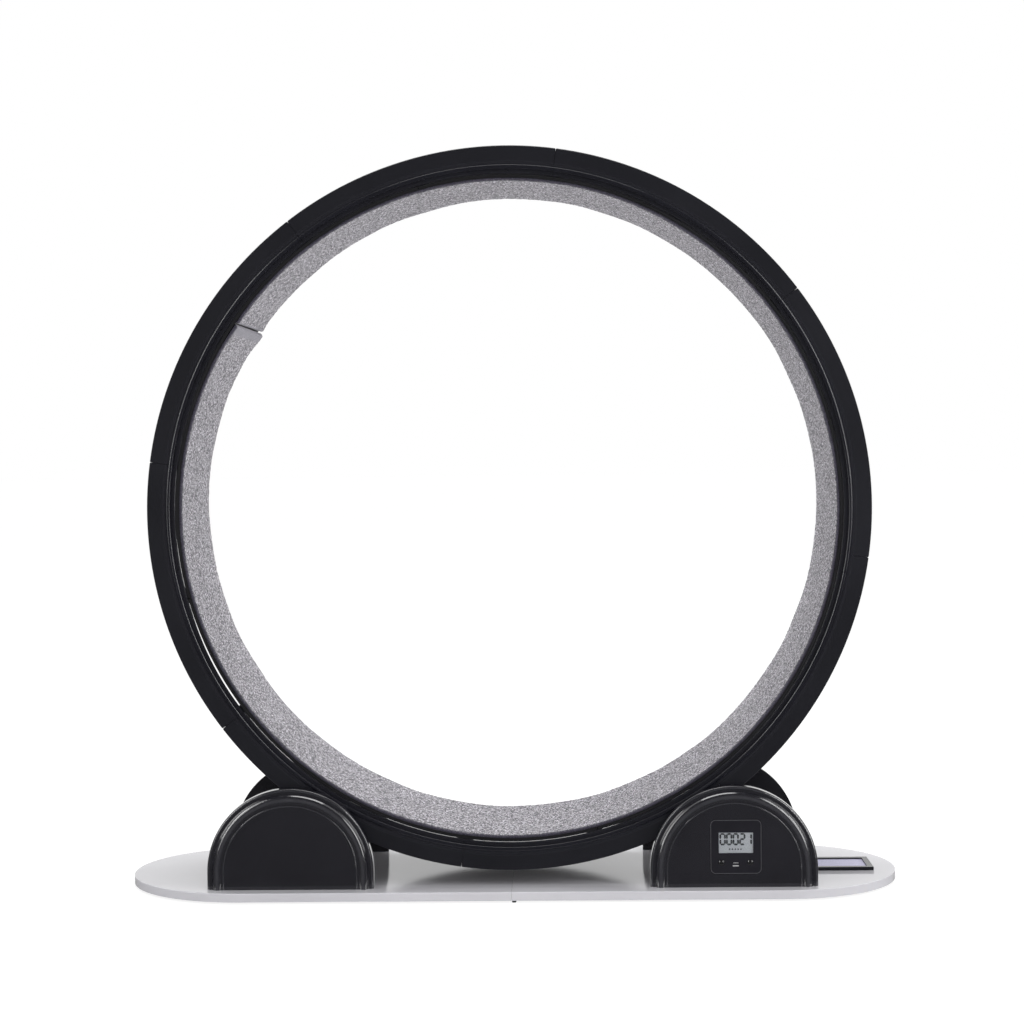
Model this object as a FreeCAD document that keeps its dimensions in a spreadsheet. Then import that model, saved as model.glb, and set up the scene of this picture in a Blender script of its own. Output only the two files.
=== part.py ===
import FreeCAD, Part
import math
import os

import Sketcher

# Cat exercise wheel: an open wheel of eight rim segments a side, lined with carpet, that turns on
# four rollers held by arched housings on a thin two-part board.
# Origin: on the floor under the middle of the board. X to the right, Y to the back, Z up.

doc = FreeCAD.newDocument("CatExerciseWheel")
sheet = doc.addObject("Spreadsheet::Sheet", "Sizes")

# Driving sizes in millimetres and degrees.
DRIVING_SIZES = {
    # wheel
    "wheel_radius": 500,
    "wheel_width": 248,
    "wheel_lift": 20.7,
    "first_seam_angle": 36.9,
    "seam_gap_angle": 0.05,
    "rim_face_width": 26,
    "rim_face_thick": 6,
    "rim_lip_thick": 4,
    "rim_depth": 25,
    "rim_corner": 1.1,
    "rim_edge": 0.8,
    "bead_width": 6,
    "bead_round": 3.6,
    "flange_step": 2.8,
    "flange_width": 6.4,
    "flange_round": 1,
    "track_gap": 0.6,
    "daylight_depth": 1.6,
    "daylight_inset": 48,
    "daylight_angle": 17,
    "track_thick": 4.5,
    "track_inset": 4,
    "first_track_seam": 15,
    "track_seam_angle": 0.15,
    "carpet_thick": 4,
    "carpet_inset": 5.2,
    "carpet_seam_angle": 145.1,
    "carpet_seam_gap": 0.25,
    "lug_angle": 2.8,
    "lug_depth": 16,
    "joiner_angle": 7,
    "joiner_depth": 13,
    "joiner_tongue": 12,
    "seat_gap": 0.2,
    # base
    "foot_height": 3,
    "foot_radius": 12,
    "foot_inner_offset": 120,
    "foot_outer_inset": 106,
    "foot_row_inset": 47,
    "foot_end_inset": 30,
    "seam_foot_radius": 3,
    "board_thick": 12,
    "board_length": 1092,
    "board_depth": 344,
    "board_edge": 0.8,
    "board_seam_gap": 0.3,
    "plate_width": 90,
    "plate_length": 240,
    "plate_thick": 2,
    # roller housings
    "housing_offset": 306,
    "housing_radius": 115.3,
    "housing_above_axle": 76.86,
    "housing_depth": 23,
    "housing_gap": 3,
    "mount_thick": 5,
    "mount_foot_thick": 8,
    "mount_foot_inset": 20.3,
    "mount_foot_clearance": 3,
    "boss_radius": 13,
    "boss_height": 4,
    "cover_wall": 3,
    "cover_shoulder": 6,
    "cover_edge_round": 3,
    "cover_band": 7,
    "cover_slope": 2.5,
    "cover_bead_width": 10,
    "cover_bead_round": 8,
    "cover_ridge_inset": 22,
    "cover_ridge_width": 2,
    "cover_ridge_round": 1.3,
    "cover_face_inset": 26,
    "cover_face_drop": 1.5,
    "cover_face_thick": 2.5,
    # rollers
    "roller_radius": 28,
    "roller_width": 23.8,
    "roller_offset": 262,
    "rolling_gap": 0.3,
    "spacer_length": 5,
    "spacer_radius": 7,
    "bearing_radius": 11,
    "bearing_width": 7,
    "running_gap": 0.05,
    "washer_radius": 34,
    "washer_thick": 2,
    "washer_gap": 0.2,
    "axle_radius": 4,
    "axle_gap": 0.1,
    "bolt_head_radius": 7.5,
    "bolt_head_height": 5.3,
    "nut_height": 6.5,
    "bolt_beyond_nut": 2,
    # screws
    "screw_radius": 2,
    "screw_head_radius": 4,
    "screw_head_height": 2,
    "screw_head_angle": 90,
    "screw_hole_gap": 0.1,
    "track_screw_length": 12,
    "mount_screw_length": 18,
    "plate_screw_length": 10,
    "mount_screw_spacing": 140,
    "plate_screw_inset": 15,
    "plate_screw_end_inset": 30,
    # counter
    "counter_width": 70.3,
    "counter_height": 74.8,
    "counter_corner": 7.5,
    "counter_depth": 9,
    "counter_wall": 2,
    "counter_shift": 2.1,
    "counter_centre_height": 55.8,
    "counter_proud": 0.3,
    "counter_fit": 0.25,
    "window_width": 47,
    "window_height": 28.2,
    "window_centre_height": 61.2,
    "window_thick": 1,
    "window_recess": 0.5,
    "display_thick": 1.5,
    "board_card_thick": 1.2,
    "cell_radius": 8,
    "cell_thick": 2,
    "button_spacing": 39.6,
    "button_centre_height": 34,
    "button_radius": 4,
    "button_gap": 0.2,
    "button_proud": 1.6,
    "button_flange": 1,
    "button_travel": 1,
    "magnet_radius": 4,
    "magnet_thick": 4,
    "magnet_inset": 15,
    "magnet_angle": 240,
    "sensor_offset": 264.15,
    "sensor_length": 16,
    "sensor_width": 4,
    # tray on the right end of the board
    "tray_end_inset": 34,
    "tray_length": 130,
    "tray_depth": 76,
    "tray_height": 5,
    "tray_rim": 8,
    "tray_floor": 1,
    "liner_thick": 2,
    "liner_gap": 0.2,
}
RIM_SEGMENTS = 8
LOOSE_SEGMENT = 4
TRACK_PANELS = 4
FULL_TURN = 360.0
NUT_SIDES = 6
CLOSE = 1e-3

for row, (alias, number) in enumerate(DRIVING_SIZES.items(), 1):
    sheet.set("A%d" % row, alias)
    sheet.set("B%d" % row, str(number))
    sheet.setAlias("B%d" % row, alias)
doc.recompute()


class Size:
    """A length or angle that knows its number and the sheet formula that gives it."""

    def __init__(self, value, text):
        self.value = value
        self.text = text

    def joined(self, other, sign, value):
        text = other.text if isinstance(other, Size) else repr(other)
        return Size(value, "(%s %s %s)" % (self.text, sign, text))

    def __add__(self, other):
        return self.joined(other, "+", self.value + number_of(other))

    def __sub__(self, other):
        return self.joined(other, "-", self.value - number_of(other))

    def __mul__(self, other):
        return self.joined(other, "*", self.value * number_of(other))

    def __truediv__(self, other):
        return self.joined(other, "/", self.value / number_of(other))

    def __neg__(self):
        return self * -1


def number_of(size):
    return size.value if isinstance(size, Size) else float(size)


def size(alias):
    return Size(float(sheet.get(alias)), "Sizes.%s" % alias)


def other_leg(long_side, leg):
    """The third side of a right triangle, from its longest side and one leg."""
    squares = long_side * long_side - leg * leg
    return Size(math.sqrt(squares.value), "sqrt(%s)" % squares.text)


ZERO = Size(0.0, "0")

# ---------------------------------------------------------------- derived sizes

wheel_radius = size("wheel_radius")
half_width = size("wheel_width") / 2
bead_outer = wheel_radius - size("rim_face_width")
bead_inner = bead_outer - size("bead_width")
flange_radius = bead_inner - size("flange_width")
track_outer = flange_radius - size("track_gap")
track_inner = track_outer - size("track_thick")
carpet_outer = track_inner - size("seat_gap") / 2
carpet_inner = carpet_outer - size("carpet_thick")
magnet_path = wheel_radius - size("magnet_inset")
board_top = size("foot_height") + size("board_thick")
wheel_centre = board_top + size("wheel_lift") + wheel_radius
housing_plane = half_width + size("housing_gap")
end_radius = size("board_depth") / 2
straight_half = size("board_length") / 2 - end_radius
roller_reach = wheel_radius + size("rolling_gap") + size("roller_radius")
roller_height = wheel_centre - other_leg(roller_reach, size("roller_offset"))
housing_height = roller_height - board_top + size("housing_above_axle")
housing_leg = housing_height - size("housing_radius")
segment_angle = FULL_TURN / RIM_SEGMENTS
panel_angle = FULL_TURN / TRACK_PANELS
cover_face = size("housing_depth") - size("cover_face_drop")
cover_inside = cover_face - size("cover_face_thick")
mount_foot_depth = cover_inside - size("mount_thick") - size("mount_foot_clearance")
screw_hole_radius = size("screw_radius") + size("screw_hole_gap")

# ---------------------------------------------------------------- drawing helpers


def vector(x, y, z=0.0):
    return FreeCAD.Vector(number_of(x), number_of(y), number_of(z))


def bind(target, path, given):
    target.setExpression(path, given.text)


def new_body(label):
    body = doc.addObject("PartDesign::Body", label)
    body.Label = label
    return body


def new_sketch(body, role, offset=None):
    """A sketch on one of the body's own planes, lifted off it along its normal by offset."""
    sketch = body.newObject("Sketcher::SketchObject", body.Label + "_sketch")
    plane = [feature for feature in body.Origin.OriginFeatures if feature.Role == role][0]
    sketch.AttachmentSupport = [(plane, "")]
    sketch.MapMode = "FlatFace"
    if offset is not None:
        bind(sketch, "AttachmentOffset.Base.z", offset)
    return sketch


def fix(sketch, kind, geometry, place, given):
    """Hold a point's distance from the sketch origin to a size."""
    constraint = sketch.addConstraint(
        Sketcher.Constraint(kind, -1, 1, geometry, place, number_of(given)))
    bind(sketch, "Constraints[%d]" % constraint, given)


def as_size(given):
    return given if isinstance(given, Size) else Size(float(given), repr(float(given)))


def arc_centre(start, end, radius, bulge_left):
    chord = end - start
    middle = (start + end) * 0.5
    across = FreeCAD.Vector(-chord.y, chord.x, 0).normalize()
    reach = math.sqrt(max(radius ** 2 - (chord.Length / 2) ** 2, 0.0))
    return middle + across * (-reach if bulge_left else reach)


def heading(direction):
    return math.atan2(direction.y, direction.x)


def draw_outline(sketch, corners):
    """A closed outline. A corner is (x, y), or (x, y, radius, side) where an arc arrives at it,
    with side +1 where the arc bulges to the left of its way and -1 to the right."""
    count = len(corners)
    points = [vector(corner[0], corner[1]) for corner in corners]
    first = sketch.GeometryCount
    for index in range(count):
        start, end = points[index], points[(index + 1) % count]
        arriving = corners[(index + 1) % count]
        if len(arriving) == 4:
            radius, side = arriving[2], arriving[3]
            centre = arc_centre(start, end, number_of(radius), side > 0)
            tail, tip = (end, start) if side > 0 else (start, end)
            circle = Part.Circle(centre, FreeCAD.Vector(0, 0, 1), number_of(radius))
            low, high = heading(tail - centre), heading(tip - centre)
            if high < low:
                high += 2 * math.pi
            sketch.addGeometry(Part.ArcOfCircle(circle, low, high), False)
        else:
            sketch.addGeometry(Part.LineSegment(start, end), False)
    ends = []
    for index in range(count):
        arriving = corners[(index + 1) % count]
        clockwise = len(arriving) == 4 and arriving[3] > 0
        ends.append((2, 1) if clockwise else (1, 2))
    for index in range(count):
        following = (index + 1) % count
        sketch.addConstraint(Sketcher.Constraint(
            "Coincident", first + index, ends[index][1], first + following, ends[following][0]))
    for index, corner in enumerate(corners):
        fix(sketch, "DistanceX", first + index, ends[index][0], as_size(corner[0]))
        fix(sketch, "DistanceY", first + index, ends[index][0], as_size(corner[1]))
        if len(corner) == 4:
            arc = first + (index - 1) % count
            radius = as_size(corner[2])
            constraint = sketch.addConstraint(Sketcher.Constraint("Radius", arc, radius.value))
            bind(sketch, "Constraints[%d]" % constraint, radius)


def draw_circle(sketch, x, y, radius):
    circle = sketch.addGeometry(Part.Circle(vector(x, y), FreeCAD.Vector(0, 0, 1),
                                            number_of(radius)), False)
    fix(sketch, "DistanceX", circle, 3, as_size(x))
    fix(sketch, "DistanceY", circle, 3, as_size(y))
    constraint = sketch.addConstraint(
        Sketcher.Constraint("Radius", circle, number_of(radius)))
    bind(sketch, "Constraints[%d]" % constraint, as_size(radius))


def rectangle(left, bottom, right, top):
    return [(left, bottom), (right, bottom), (right, top), (left, top)]


def pad(body, sketch, length, reverse=False):
    feature = body.newObject("PartDesign::Pad", body.Label + "_pad")
    feature.Profile = sketch
    feature.Reversed = reverse
    feature.Length = number_of(length)
    bind(feature, "Length", as_size(length))
    return feature


def pocket(body, sketch, depth, reverse=False):
    """Cut into the body, and check that the cut took something away."""
    doc.recompute()
    before = body.Shape.Volume
    feature = body.newObject("PartDesign::Pocket", body.Label + "_pocket")
    feature.Profile = sketch
    feature.Reversed = reverse
    feature.Length = number_of(depth)
    bind(feature, "Length", as_size(depth))
    doc.recompute()
    if body.Shape.Volume > before - CLOSE:
        raise RuntimeError("pocket cuts nothing in " + body.Label)
    return feature


def countersunk_holes(body, sketch):
    """Through holes at a sketch's circles, with a seat for a screw head at the sketch's side."""
    doc.recompute()
    before = body.Shape.Volume
    feature = body.newObject("PartDesign::Hole", body.Label + "_holes")
    feature.Profile = sketch
    feature.Reversed = True
    feature.DepthType = "ThroughAll"
    bind(feature, "Diameter", screw_hole_radius * 2)
    feature.HoleCutType = "Countersink"
    bind(feature, "HoleCutDiameter", (size("screw_head_radius") + size("screw_hole_gap")) * 2)
    bind(feature, "HoleCutCountersinkAngle", size("screw_head_angle"))
    doc.recompute()
    if body.Shape.Volume > before - CLOSE:
        raise RuntimeError("holes cut nothing in " + body.Label)


def revolve(body, sketch, angle, midplane=True):
    feature = body.newObject("PartDesign::Revolution", body.Label + "_revolve")
    feature.Profile = sketch
    feature.ReferenceAxis = (sketch, ["V_Axis"])
    feature.Midplane = midplane
    feature.Angle = number_of(angle)
    if isinstance(angle, Size):
        bind(feature, "Angle", angle)
    return feature


def bevel(body, edges_wanted, length):
    """Chamfer the edges of the body's last feature that a test picks."""
    doc.recompute()
    base = body.Tip
    names = ["Edge%d" % index for index, edge in enumerate(base.Shape.Edges, 1)
             if edges_wanted(edge)]
    if not names:
        raise RuntimeError("no edge to bevel in " + body.Label)
    feature = body.newObject("PartDesign::Chamfer", body.Label + "_bevel")
    feature.Base = (base, names)
    feature.Size = number_of(length)
    bind(feature, "Size", length)
    return feature


SUBPARTS = []


def finish(item, position=None, rotation=None):
    """Place a finished sub-part and list it for writing."""
    item.Placement = FreeCAD.Placement(position or FreeCAD.Vector(),
                                       rotation or FreeCAD.Rotation())
    SUBPARTS.append(item)
    return item


def group(label, model, placements):
    """Identical pieces in one node: the model's solid repeated at each placement."""
    doc.recompute()
    item = doc.addObject("Part::Feature", label)
    item.Label = label
    copies = []
    for placement in placements:
        copy = model.Shape.copy()
        copy.Placement = placement.multiply(copy.Placement)
        copies.append(copy)
    item.Shape = Part.Compound(copies)
    SUBPARTS.append(item)
    return item


X_AXIS = FreeCAD.Vector(1, 0, 0)
Y_AXIS = FreeCAD.Vector(0, 1, 0)
TOWARDS_FRONT = FreeCAD.Vector(0, -1, 0)


def turned(angle, side):
    """Wheel pieces are drawn with their local Z pointing into the wheel from its face.
    side is -1 at the front and +1 at the back; angle runs anticlockwise seen from the front."""
    return FreeCAD.Rotation(TOWARDS_FRONT, angle) * FreeCAD.Rotation(X_AXIS, 90 * side)


def wheel_placement(angle, side):
    face = FreeCAD.Vector(0, side * half_width.value, wheel_centre.value)
    return FreeCAD.Placement(face, turned(angle, side))


# ---------------------------------------------------------------- wheel


def rim_segment(label, angle, side, daylight=False):
    """One eighth of a rim: a channel with a flat face, a bead and a set-back inner flange."""
    body = new_body(label)
    section = new_sketch(body, "XZ_Plane")
    lip_inside = wheel_radius - size("rim_lip_thick")
    back = size("rim_face_thick")
    draw_outline(section, [
        (wheel_radius - size("rim_edge"), ZERO),
        (wheel_radius, size("rim_edge")),
        (wheel_radius, size("rim_depth")),
        (lip_inside, size("rim_depth")),
        (lip_inside, back),
        (flange_radius, back),
        (flange_radius, size("flange_step") + size("flange_round")),
        (flange_radius + size("flange_round"), size("flange_step"), size("flange_round"), -1),
        (bead_inner, size("flange_step")),
        (bead_inner, ZERO),
        (bead_outer, ZERO, size("bead_round"), -1),
    ])
    revolve(body, section, Size(segment_angle, repr(segment_angle)) - size("seam_gap_angle"))
    # the lug under the middle of the segment rests on the track panel
    lug = new_sketch(body, "XZ_Plane")
    draw_outline(lug, rectangle(track_outer + size("seat_gap"), back - size("seat_gap"),
                                bead_outer, back + size("lug_depth")))
    revolve(body, lug, size("lug_angle"))

    def outer_corner(edge):
        upright = edge.BoundBox.ZLength > size("rim_depth").value / 2
        outside = math.hypot(edge.CenterOfMass.x, edge.CenterOfMass.y)
        return upright and outside > wheel_radius.value - CLOSE

    bevel(body, outer_corner, size("rim_corner"))
    if daylight:
        open_flange(body)
    placement = wheel_placement(angle, side)
    return finish(body, placement.Base, placement.Rotation)


def open_flange(body):
    """Bow the flange's inner edge off the track, so that a sliver of daylight shows there."""
    turn = math.radians(size("daylight_angle").value)
    offset = size("daylight_inset") + size("daylight_depth")
    bow = new_sketch(body, "XY_Plane")
    draw_circle(bow, offset * math.cos(turn), offset * -math.sin(turn),
                flange_radius - size("daylight_inset"))
    pocket(body, bow, size("rim_face_thick"), reverse=True)


def rims():
    for index in range(RIM_SEGMENTS):
        middle = size("first_seam_angle").value + segment_angle * (index + 0.5)
        rim_segment("front_rim_segment_%d" % (index + 1), middle, -1,
                    daylight=index + 1 == LOOSE_SEGMENT)
        rim_segment("rear_rim_segment_%d" % (index + 1), middle, 1)


def seam_angles():
    return [size("first_seam_angle").value + segment_angle * index
            for index in range(RIM_SEGMENTS)]


screw_seat = size("rim_face_thick") + size("joiner_depth") / 2


def joiners():
    """Blocks that plug into both rim channels behind a seam, with a tongue down to the track."""
    body = new_body("rim_joiner")
    back = size("rim_face_thick") + size("seat_gap")
    block = new_sketch(body, "XZ_Plane")
    inner = bead_outer - size("joiner_tongue") / 2
    outer = wheel_radius - size("rim_lip_thick") - size("seat_gap")
    draw_outline(block, rectangle(inner, back, outer, back + size("joiner_depth")))
    revolve(body, block, size("joiner_angle"))
    tongue = new_sketch(body, "XZ_Plane")
    draw_outline(tongue, rectangle(track_outer + size("seat_gap"), back,
                                   inner + size("seat_gap"), back + size("joiner_depth")))
    revolve(body, tongue, size("lug_angle"))
    hole = new_sketch(body, "YZ_Plane", track_outer)
    draw_circle(hole, ZERO, screw_seat, screw_hole_radius)
    pocket(body, hole, size("track_screw_length"), reverse=True)
    places = [wheel_placement(angle, side) for side in (-1, 1) for angle in seam_angles()]
    group("rim_joiners", body, places)


def screw_model(name, length):
    """A countersunk screw with its head's top at the origin, pointing along local Z."""
    body = new_body(name)
    section = new_sketch(body, "XZ_Plane")
    draw_outline(section, [
        (ZERO, ZERO),
        (size("screw_head_radius"), ZERO),
        (size("screw_radius"), size("screw_head_height")),
        (size("screw_radius"), length),
        (ZERO, length),
    ])
    revolve(body, section, FULL_TURN)
    return body


def track_screws():
    model = screw_model("track_screw", size("track_screw_length"))
    places = []
    for side in (-1, 1):
        for angle in seam_angles():
            local = FreeCAD.Placement(vector(track_inner, ZERO, screw_seat),
                                      FreeCAD.Rotation(Y_AXIS, 90))
            places.append(wheel_placement(angle, side).multiply(local))
    group("track_screws", model, places)


def track_panel(label, start_angle):
    """A quarter of the track: a curved sheet with countersunk holes over the joiners."""
    body = new_body(label + "_sheet")
    section = new_sketch(body, "XZ_Plane")
    draw_outline(section, rectangle(track_inner, size("track_inset"), track_outer,
                                    size("wheel_width") - size("track_inset")))
    revolve(body, section, Size(panel_angle, repr(panel_angle)) - size("track_seam_angle"))
    doc.recompute()
    middle = start_angle + panel_angle / 2
    cutters = []
    for seam in seam_angles():
        local_angle = (seam - middle + FULL_TURN / 2) % FULL_TURN - FULL_TURN / 2
        if abs(local_angle) > panel_angle / 2:
            continue
        for depth in (screw_seat, size("wheel_width") - screw_seat):
            head = Part.makeCone(size("screw_head_radius").value + size("screw_hole_gap").value,
                                 screw_hole_radius.value, size("screw_head_height").value)
            shank = Part.makeCylinder(screw_hole_radius.value, 2 * size("track_thick").value)
            cutter = head.fuse(shank)
            cutter.Placement = FreeCAD.Placement(vector(track_inner, ZERO, depth),
                                                 FreeCAD.Rotation(Y_AXIS, 90))
            # seen from the front face inwards, local angles run the other way
            cutter.rotate(FreeCAD.Vector(), FreeCAD.Vector(0, 0, 1), -local_angle)
            cutters.append(cutter)
    drilled = doc.addObject("Part::Feature", label)
    drilled.Label = label
    drilled.Shape = body.Shape.cut(cutters)
    placement = wheel_placement(middle, -1)
    return finish(drilled, placement.Base, placement.Rotation)


def track():
    for index in range(TRACK_PANELS):
        track_panel("track_panel_%d" % (index + 1),
                    size("first_track_seam").value + panel_angle * index)


def carpet():
    """The running surface: one strip bent round inside the track, its ends meeting upper left."""
    body = new_body("running_carpet")
    section = new_sketch(body, "XZ_Plane")
    draw_outline(section, rectangle(carpet_inner, size("carpet_inset"), carpet_outer,
                                    size("wheel_width") - size("carpet_inset")))
    revolve(body, section, Size(FULL_TURN, repr(FULL_TURN)) - size("carpet_seam_gap"))
    placement = wheel_placement(size("carpet_seam_angle").value + 180, -1)
    finish(body, placement.Base, placement.Rotation)


def magnet():
    """A disc magnet glued behind the front rim's face, which the counter's sensor feels."""
    body = new_body("counter_magnet")
    disc = new_sketch(body, "XY_Plane", size("rim_face_thick"))
    draw_circle(disc, magnet_path, ZERO, size("magnet_radius"))
    pad(body, disc, size("magnet_thick"))
    placement = wheel_placement(size("magnet_angle").value, -1)
    finish(body, placement.Base, placement.Rotation)


# ---------------------------------------------------------------- base


def mount_screw_places():
    """Where a screw comes up through the boards into each roller mount's foot."""
    reach = housing_plane.value + size("mount_thick").value + mount_foot_depth.value / 2
    half = size("mount_screw_spacing").value / 2
    return [(x_side * size("housing_offset").value + shift, y_side * reach)
            for x_side in (-1, 1) for y_side in (-1, 1) for shift in (-half, half)]


def plate_screw_places():
    x = size("plate_width").value / 2 - size("plate_screw_inset").value
    y = size("plate_length").value / 2 - size("plate_screw_end_inset").value
    return [(x_side * x, y_side * y) for x_side in (-1, 1) for y_side in (-1, 1)]


def base_board(label, side):
    """Half of the board: straight to the seam, a half circle at its outer end."""
    body = new_body(label)
    outline = new_sketch(body, "XY_Plane")
    seam = size("board_seam_gap") / 2 * side
    straight = straight_half * side
    draw_outline(outline, [
        (seam, -end_radius),
        (straight, -end_radius),
        (straight + end_radius * side, ZERO, end_radius, -side),
        (straight, end_radius, end_radius, -side),
        (seam, end_radius),
    ])
    pad(body, outline, size("board_thick"))

    def top_rim(edge):
        level = edge.BoundBox.ZLength < CLOSE
        high = edge.BoundBox.ZMin > size("board_thick").value - CLOSE
        at_seam = abs(edge.CenterOfMass.x - seam.value) < CLOSE
        return level and high and not at_seam

    bevel(body, top_rim, size("board_edge"))
    through = new_sketch(body, "XY_Plane")
    for x, y in mount_screw_places():
        if x * side > 0:
            draw_circle(through, x, y, screw_hole_radius)
    countersunk_holes(body, through)
    blind = new_sketch(body, "XY_Plane")
    for x, y in plate_screw_places():
        if x * side > 0:
            draw_circle(blind, x, y, screw_hole_radius)
    pocket(body, blind, size("plate_screw_length"), reverse=True)
    finish(body, vector(0, 0, size("foot_height")))


def joining_plate():
    """A steel strip screwed under the seam, thinner than the feet are high."""
    body = new_body("joining_plate")
    outline = new_sketch(body, "XY_Plane")
    draw_outline(outline, rectangle(-(size("plate_width") / 2), -(size("plate_length") / 2),
                                    size("plate_width") / 2, size("plate_length") / 2))
    pad(body, outline, size("plate_thick"))
    holes = new_sketch(body, "XY_Plane")
    for x, y in plate_screw_places():
        draw_circle(holes, x, y, screw_hole_radius)
    countersunk_holes(body, holes)
    finish(body, vector(0, 0, size("foot_height") - size("plate_thick")))


def base_screws():
    rise = size("foot_height").value - size("plate_thick").value
    model = screw_model("joining_screw", size("plate_screw_length"))
    group("joining_screws", model,
          [FreeCAD.Placement(FreeCAD.Vector(x, y, rise), FreeCAD.Rotation())
           for x, y in plate_screw_places()])


def feet():
    """Rubber feet stuck under the boards, with two small ones at the ends of the seam."""
    item = doc.addObject("Part::Feature", "base_feet")
    item.Label = "base_feet"
    height = size("foot_height").value
    board_end = size("board_length").value / 2
    columns = (size("foot_inner_offset").value, board_end - size("foot_outer_inset").value)
    row_offset = end_radius.value - size("foot_row_inset").value
    end_x = board_end - size("foot_end_inset").value
    large = [(side * x, row * row_offset) for side in (-1, 1) for x in columns for row in (-1, 1)]
    large += [(side * end_x, 0) for side in (-1, 1)]
    small_y = end_radius.value - 2 * size("seam_foot_radius").value
    shapes = [Part.makeCylinder(size("foot_radius").value, height, FreeCAD.Vector(x, y, 0))
              for x, y in large]
    shapes += [Part.makeCylinder(size("seam_foot_radius").value, height,
                                 FreeCAD.Vector(size("seam_foot_radius").value
                                                + size("board_seam_gap").value, y * small_y, 0))
               for y in (-1, 1)]
    item.Shape = Part.Compound(shapes)
    SUBPARTS.append(item)


# ---------------------------------------------------------------- roller housings
# Drawn with local X to the right, local Y up from the board and local Z away from the wheel.

CORNERS = [("front_left", -1, -1), ("front_right", 1, -1),
           ("rear_left", -1, 1), ("rear_right", 1, 1)]


def facing_out(y_side):
    """Turns local Z away from the wheel and local Y upwards."""
    upright = FreeCAD.Rotation(X_AXIS, 90)
    if y_side < 0:
        return upright
    return FreeCAD.Rotation(FreeCAD.Vector(0, 0, 1), 180) * upright


def housing_placement(x_side, y_side):
    base = vector(size("housing_offset") * x_side, housing_plane * y_side, board_top)
    return FreeCAD.Placement(base, facing_out(y_side))


def arch_outline(radius, foot):
    """An arch: a half circle on two straight legs that reach down to foot."""
    return [(-radius, foot), (radius, foot), (radius, housing_leg),
            (ZERO, housing_leg + radius, radius, -1), (-radius, housing_leg, radius, -1)]


def roller_in_housing(x_side, y_side):
    """The axle's place in a housing's own frame."""
    shift = (size("roller_offset") - size("housing_offset")) * (x_side * -y_side)
    return shift, roller_height - board_top


def roller_mount(label, x_side, y_side):
    """The inner plate that carries the axle, with a boss, a foot and a spigot for the cover."""
    body = new_body(label)
    plate = new_sketch(body, "XY_Plane")
    draw_outline(plate, arch_outline(size("housing_radius"), ZERO))
    pad(body, plate, size("mount_thick"))
    foot = new_sketch(body, "XY_Plane", size("mount_thick"))
    half_foot = size("housing_radius") - size("mount_foot_inset")
    draw_outline(foot, rectangle(-half_foot, ZERO, half_foot, size("mount_foot_thick")))
    pad(body, foot, mount_foot_depth)
    boss = new_sketch(body, "XY_Plane", size("mount_thick"))
    shift, height = roller_in_housing(x_side, y_side)
    draw_circle(boss, shift, height, size("boss_radius"))
    pad(body, boss, size("boss_height"))
    bore = new_sketch(body, "XY_Plane")
    draw_circle(bore, shift, height, size("axle_radius") + size("axle_gap"))
    pocket(body, bore, size("mount_thick") + size("boss_height"), reverse=True)
    holes = new_sketch(body, "XZ_Plane")
    middle = size("mount_thick") + mount_foot_depth / 2
    for side in (-1, 1):
        draw_circle(holes, size("mount_screw_spacing") / 2 * side, middle, screw_hole_radius)
    pocket(body, holes, size("mount_foot_thick"), reverse=False)
    placement = housing_placement(x_side, y_side)
    finish(body, placement.Base, placement.Rotation)


def cover_section():
    """The cover's wall, from its side in to its face: shoulder, slope, bead, ridge and face."""
    radius = size("housing_radius")
    start = size("mount_thick")
    shoulder = size("housing_depth") - size("cover_shoulder")
    edge = size("cover_edge_round")
    bead_start = radius - size("cover_band") - size("cover_slope")
    bead_end = bead_start - size("cover_bead_width")
    ridge_start = radius - size("cover_ridge_inset")
    ridge_end = ridge_start - size("cover_ridge_width")
    face_end = radius - size("cover_face_inset")
    underside = shoulder - size("cover_wall")
    wall_inside = radius - size("cover_wall")
    return [
        (radius, start),
        (radius, shoulder - edge),
        (radius - edge, shoulder, edge, -1),
        (radius - size("cover_band"), shoulder),
        (bead_start, cover_face),
        (bead_end, cover_face, size("cover_bead_round"), -1),
        (ridge_start, cover_face),
        (ridge_end, cover_face, size("cover_ridge_round"), -1),
        (face_end, cover_face),
        (face_end, cover_inside),
        (bead_start - size("cover_face_thick"), cover_inside),
        (radius - size("cover_band") - size("cover_wall"), underside),
        (wall_inside, underside),
        (wall_inside, start),
    ]


def roller_cover(label, x_side, y_side, with_counter):
    """The arched shell over a mount: the section turned through a half circle, drawn down both
    legs, and closed by a face plate."""
    body = new_body(label)
    arch = new_sketch(body, "XZ_Plane", -housing_leg)
    draw_outline(arch, cover_section())
    revolve(body, arch, FULL_TURN / 2, midplane=False)
    for mirror in (1, -1):
        leg = new_sketch(body, "XZ_Plane")
        corners = cover_section()
        if mirror < 0:
            corners = [(-corner[0],) + tuple(corner[1:3]) + ((-corner[3],) if len(corner) == 4
                       else ()) for corner in corners]
        draw_outline(leg, corners)
        pad(body, leg, housing_leg, reverse=True)
    face = new_sketch(body, "XY_Plane", cover_inside)
    draw_outline(face, arch_outline(size("housing_radius") - size("cover_face_inset"), ZERO))
    pad(body, face, size("cover_face_thick"))
    if with_counter:
        opening = new_sketch(body, "XY_Plane", cover_face)
        draw_outline(opening, counter_outline(size("counter_fit")))
        pocket(body, opening, size("cover_face_thick"))
    placement = housing_placement(x_side, y_side)
    finish(body, placement.Base, placement.Rotation)


def housings():
    for name, x_side, y_side in CORNERS:
        roller_mount("roller_mount_" + name, x_side, y_side)
        roller_cover("roller_cover_" + name, x_side, y_side, name == "front_right")
    model = screw_model("mount_screw", size("mount_screw_length"))
    group("mount_screws", model,
          [FreeCAD.Placement(FreeCAD.Vector(x, y, size("foot_height").value),
                             FreeCAD.Rotation())
           for x, y in mount_screw_places()])


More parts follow.
